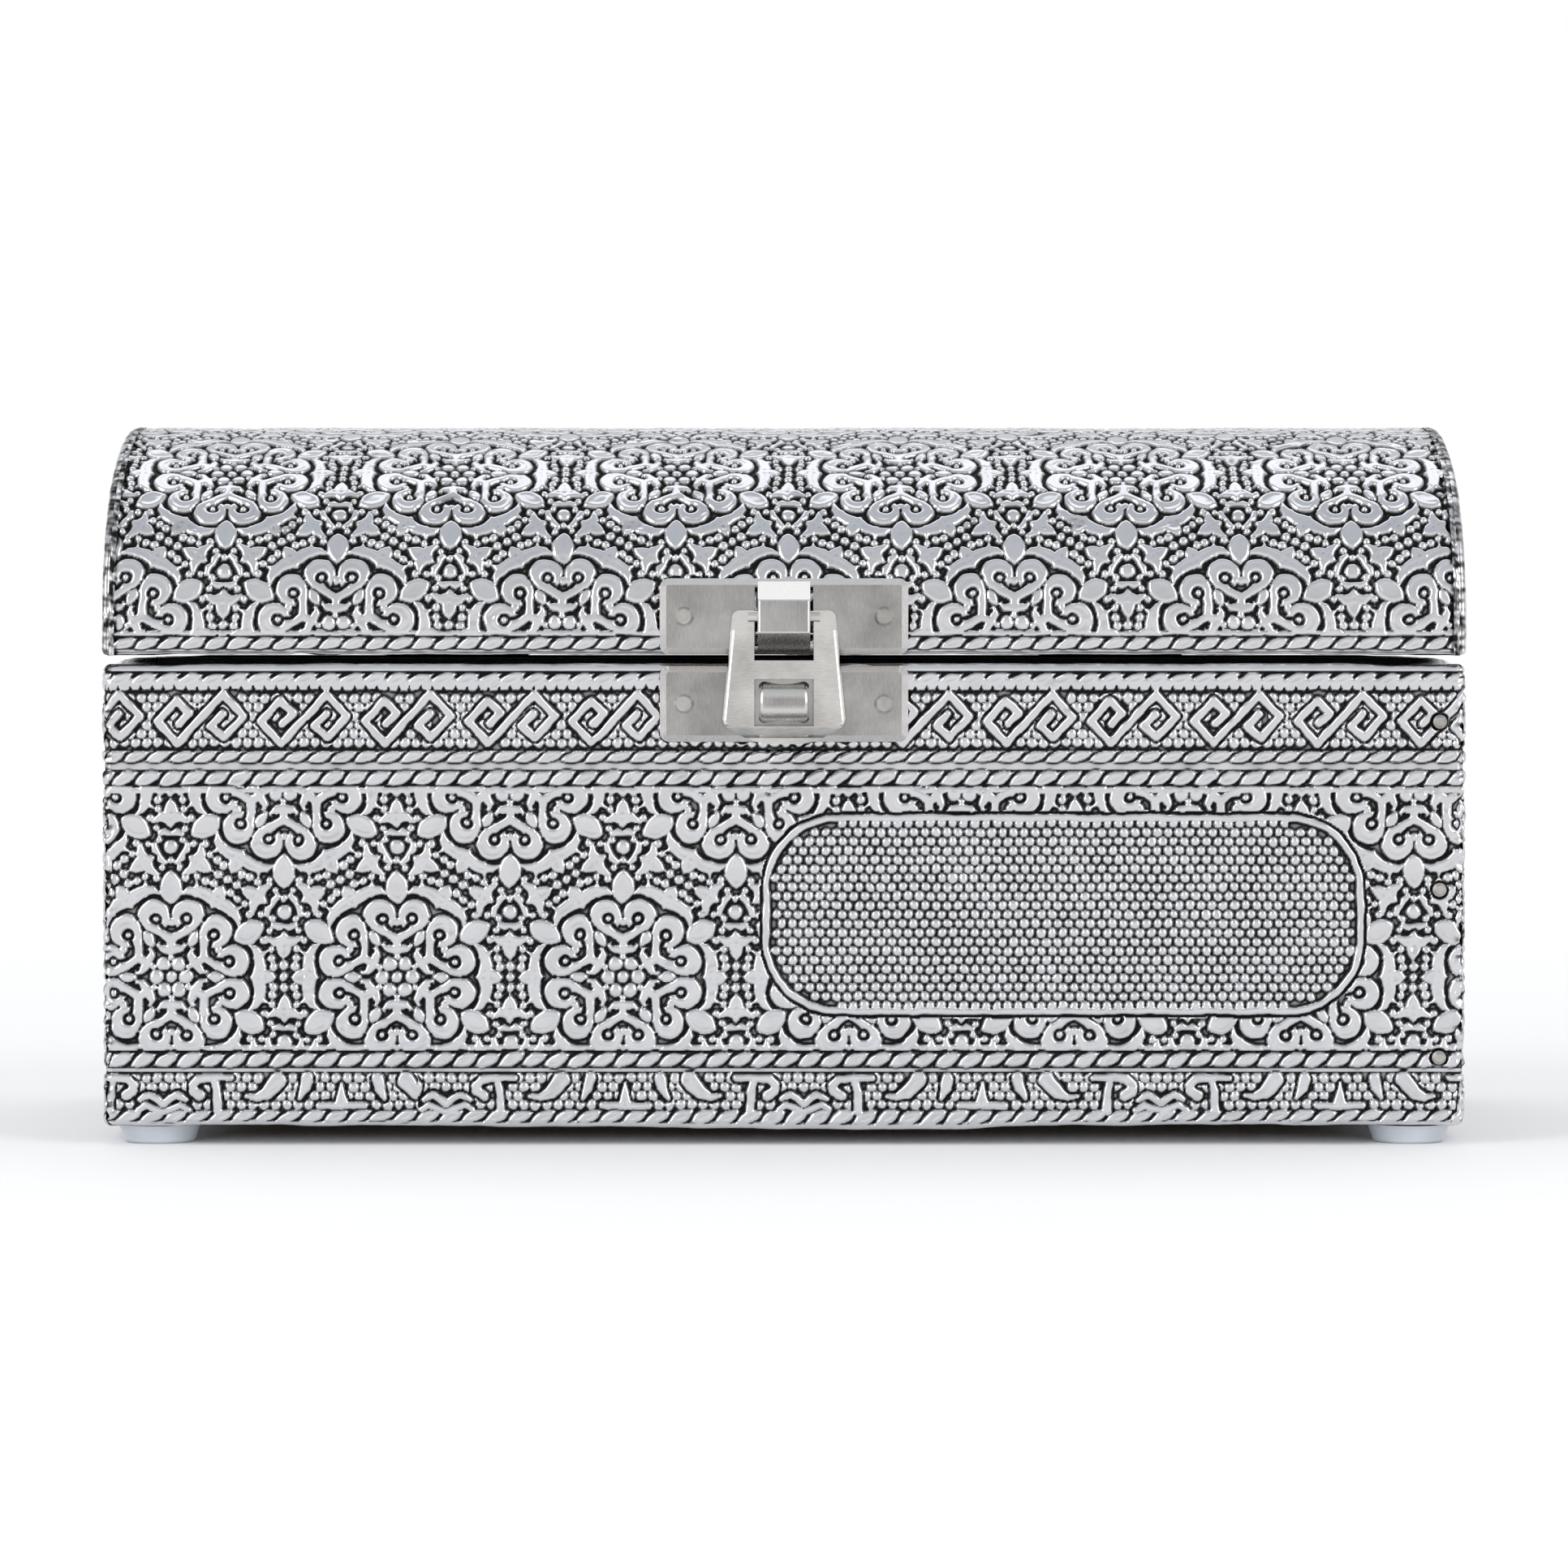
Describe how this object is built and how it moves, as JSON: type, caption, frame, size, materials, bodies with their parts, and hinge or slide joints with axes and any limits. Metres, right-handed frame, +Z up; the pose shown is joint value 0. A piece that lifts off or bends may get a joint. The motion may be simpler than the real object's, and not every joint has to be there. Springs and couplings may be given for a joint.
{
  "type": "keepsake box",
  "caption": "Domed-lid keepsake chest of wood clad in embossed metal sheet, on butt hinges, closed by a hasp latch, standing on bumper feet.",
  "frame": {"origin": "on the ground under the middle of the whole object's box", "axes": "+X to the right seen from the front, +Y to the back, +Z up"},
  "size_m": [0.178, 0.081, 0.0949],
  "materials": {
    "embossed_sheet": "embossed, darkened in the hollows and rubbed bright on the relief",
    "latch": "satin nickel plate",
    "hinge": "nickel plate",
    "nails": "dull nickel plate",
    "wood": "bare fibreboard",
    "lining": "black velvet on card",
    "feet": "pale translucent rubber"
  },
  "bodies": {
    "base": {"base_front_wall": "wood", "base_back_wall": "wood", "base_left_wall": "wood", "base_right_wall": "wood", "base_bottom_panel": "wood", "base_cladding": "embossed_sheet", "base_floor_lining": "lining", "base_front_lining": "lining", "base_back_lining": "lining", "base_left_lining": "lining", "base_right_lining": "lining", "foot_front_left": "feet", "foot_front_right": "feet", "foot_back_left": "feet", "foot_back_right": "feet", "cladding_nails": "nails", "latch_lower_plate": "latch", "latch_lower_nails": "nails", "hinge_left_base_leaf": "hinge", "hinge_right_base_leaf": "hinge", "hinge_left_pin": "hinge", "hinge_right_pin": "hinge", "hinge_base_screws": "nails"},
    "lid": {"lid_left_end": "wood", "lid_right_end": "wood", "lid_front_rail": "wood", "lid_back_rail": "wood", "lid_curved_top": "wood", "lid_cladding": "embossed_sheet", "lid_left_end_cladding": "embossed_sheet", "lid_right_end_cladding": "embossed_sheet", "lid_lining": "lining", "lid_left_end_lining": "lining", "lid_right_end_lining": "lining", "latch_upper_plate": "latch", "latch_upper_nails": "nails", "hinge_left_lid_leaf": "hinge", "hinge_right_lid_leaf": "hinge", "hinge_lid_screws": "nails"},
    "hasp": {"latch_hasp": "latch"}
  },
  "joints": [
    {"name": "lid_hinge", "type": "hinge", "parent": "base", "child": "lid", "pos_m": [0, 0.0389, 0.062], "axis": [-1, 0, 0], "range_deg": [0, 104]},
    {"name": "hasp_swing", "type": "hinge", "parent": "lid", "child": "hasp", "pos_m": [0, -0.0381, 0.069], "axis": [-1, 0, 0], "range_deg": [0, 170]}
  ]
}
